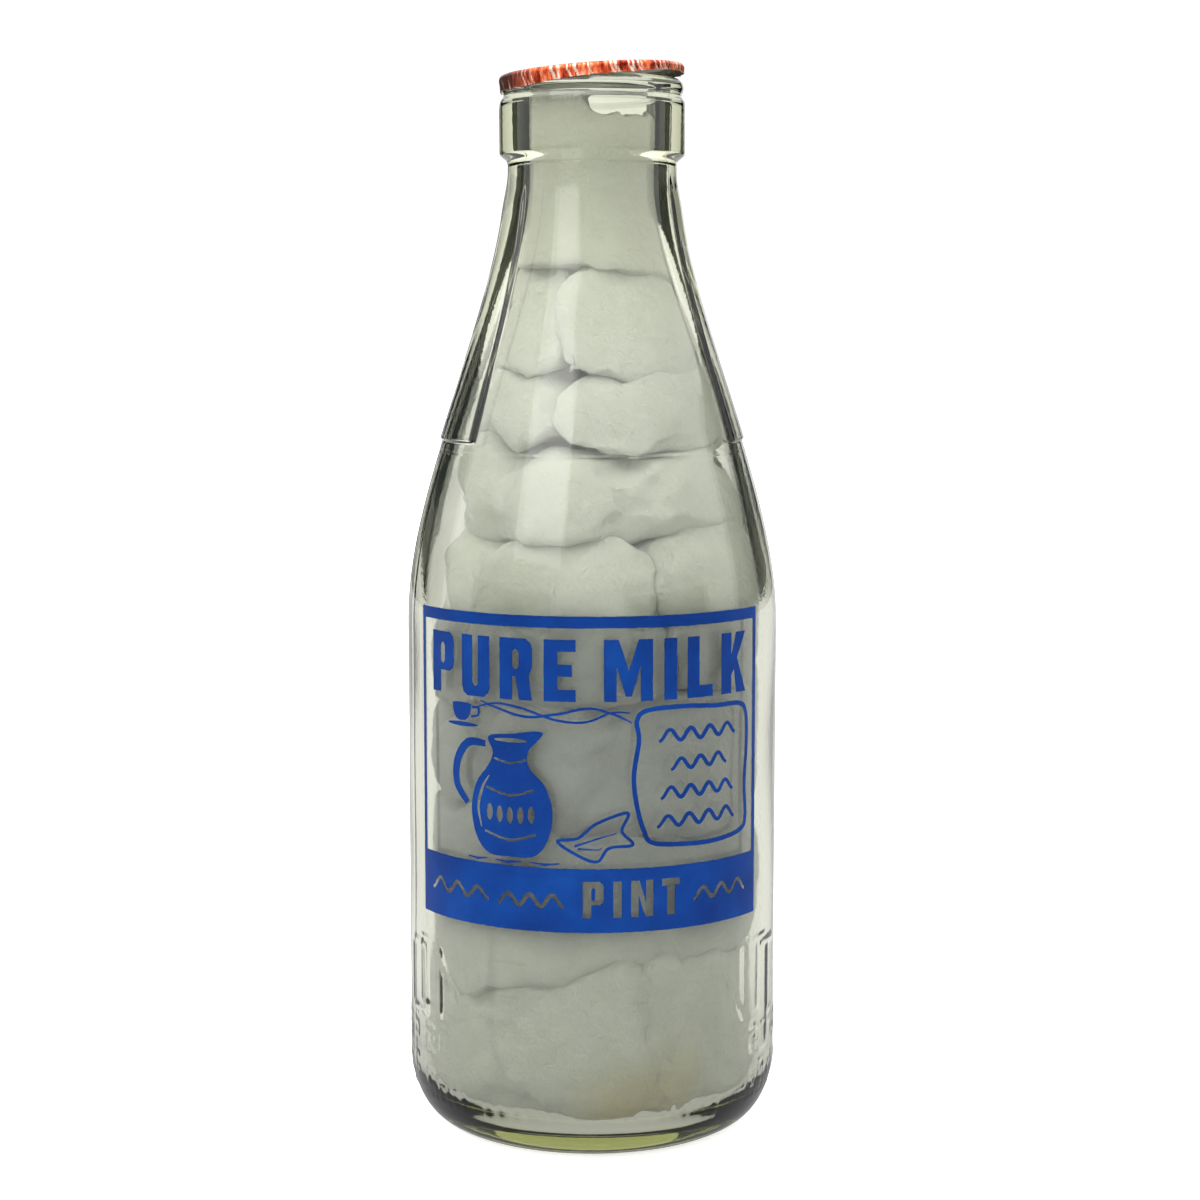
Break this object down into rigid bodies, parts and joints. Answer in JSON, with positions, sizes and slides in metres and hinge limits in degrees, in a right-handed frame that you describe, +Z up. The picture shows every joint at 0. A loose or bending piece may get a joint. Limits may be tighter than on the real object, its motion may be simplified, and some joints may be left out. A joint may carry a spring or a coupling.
{
  "type": "glass milk bottle",
  "caption": "Tall clear glass milk bottle with a collared neck, raised side panels, a blue fired label, white cotton wadding inside and a loose red foil cap.",
  "frame": {"origin": "on the surface it stands on, at the middle of its outline", "axes": "+Z up the bottle's axis, -Y out through the label, +X to the right of someone facing the label"},
  "size_m": [0.0776, 0.078, 0.2218],
  "materials": {
    "clear_glass": "polished, faint green tint, olive where thick",
    "blue_enamel": "glossy fired enamel",
    "white_wadding": "soft matt cotton wool",
    "red_foil": "crinkled lacquered foil"
  },
  "bodies": {
    "bottle": {"glass_bottle": "clear_glass", "label_frame": "blue_enamel", "label_heading": "blue_enamel", "label_picture": "blue_enamel", "label_panel": "blue_enamel", "wadding_01": "white_wadding", "wadding_02": "white_wadding", "wadding_03": "white_wadding", "wadding_04": "white_wadding", "wadding_05": "white_wadding", "wadding_06": "white_wadding", "wadding_07": "white_wadding", "wadding_08": "white_wadding", "wadding_09": "white_wadding", "wadding_10": "white_wadding", "wadding_11": "white_wadding", "wadding_12": "white_wadding", "wadding_13": "white_wadding", "wadding_14": "white_wadding", "wadding_15": "white_wadding", "wadding_16": "white_wadding", "wadding_17": "white_wadding", "wadding_18": "white_wadding", "wadding_19": "white_wadding", "wadding_20": "white_wadding"},
    "cap": {"foil_cap": "red_foil"}
  },
  "joints": [
    {"name": "cap_lift", "type": "slide", "parent": "bottle", "child": "cap", "axis": [0, 0, 1], "range_m": [0, 0.03]}
  ]
}
